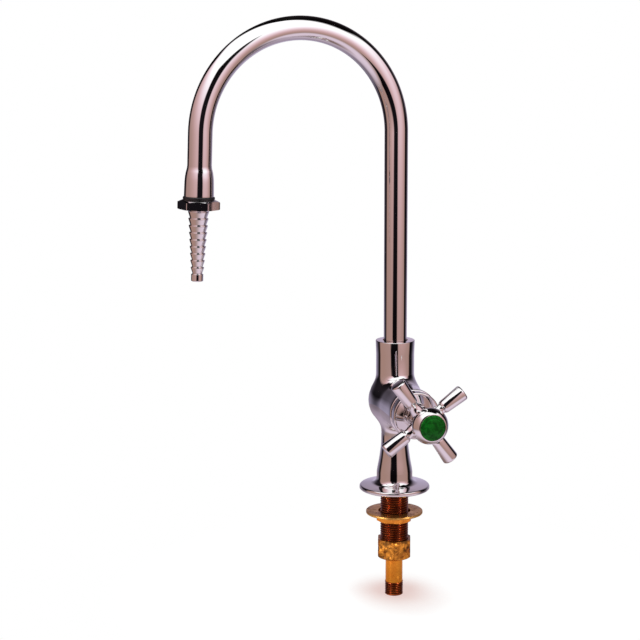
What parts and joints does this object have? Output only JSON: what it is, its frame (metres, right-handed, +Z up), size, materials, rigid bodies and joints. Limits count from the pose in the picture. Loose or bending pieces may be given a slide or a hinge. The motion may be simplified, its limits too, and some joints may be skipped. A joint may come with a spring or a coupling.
{
  "type": "laboratory gooseneck tap",
  "caption": "Deck-mounted laboratory tap: side valve with a four-arm handle, swivelling gooseneck spout with a serrated hose nozzle, threaded shank and tail pipe.",
  "frame": {"origin": "centre of the flange underside, on the deck plane and the shank axis", "axes": "+Z up along the shank and riser, -Y out of the valve towards the handle, spout reaches towards -X swung 8 degrees towards -Y"},
  "size_m": [0.1963, 0.121, 0.4353],
  "materials": {
    "chrome": "polished chrome plate",
    "thread_brass": "dark reddish threaded brass",
    "rough_brass": "rough forged brass",
    "brass": "plain turned brass",
    "washer_brass": "flat stamped brass",
    "bright_brass": "bright machined brass",
    "fibre": "vulcanised fibre",
    "rubber": "black rubber",
    "spring_steel": "spring steel",
    "index_green": "glossy deep green"
  },
  "bodies": {
    "tap": {"tap_body": "chrome", "mounting_shank": "thread_brass", "tail_coupling": "rough_brass", "tail_washer": "fibre", "inlet_tailpiece": "brass", "valve_seat": "brass", "bonnet": "chrome", "bonnet_washer": "fibre", "gland_nut": "chrome", "thrust_washer": "rubber"},
    "spout": {"gooseneck_tube": "chrome", "outlet_socket": "chrome", "serrated_nozzle": "chrome", "nozzle_washer": "fibre", "swivel_nipple": "brass", "swivel_orings": "rubber", "swivel_ring": "spring_steel"},
    "handle": {"cross_handle": "chrome", "spindle": "brass", "spindle_orings": "rubber", "handle_screw": "brass", "index_button": "index_green"},
    "plunger": {"jumper": "brass", "seat_washer": "rubber", "washer_screw": "brass"},
    "clamp": {"clamp_washer": "washer_brass"},
    "nut": {"locknut": "bright_brass"}
  },
  "joints": [
    {"name": "spout_swivel", "type": "hinge", "parent": "tap", "child": "spout", "pos_m": [0, 0, 0.1], "axis": [0, 0, 1], "continuous": true},
    {"name": "handle_turn", "type": "hinge", "parent": "tap", "child": "handle", "pos_m": [0, -0.0728, 0.0685], "axis": [0, -1, 0], "range_deg": [0, 540]},
    {"name": "plunger_slide", "type": "slide", "parent": "tap", "child": "plunger", "axis": [0, -1, 0], "range_m": [0, 0.0038]},
    {"name": "clamp_slide", "type": "slide", "parent": "tap", "child": "clamp", "axis": [0, 0, -1], "range_m": [-0.015, 0.012]},
    {"name": "nut_turn", "type": "hinge", "parent": "clamp", "child": "nut", "pos_m": [0, 0, -0.022], "axis": [0, 0, -1], "range_deg": [-2970, 2380]}
  ],
  "couplings": [
    {"joint": "plunger_slide", "follows": "handle_turn", "m_per_rad": 0.00039789},
    {"joint": "clamp_slide", "follows": "nut_turn", "m_per_rad": 0.00028871}
  ]
}
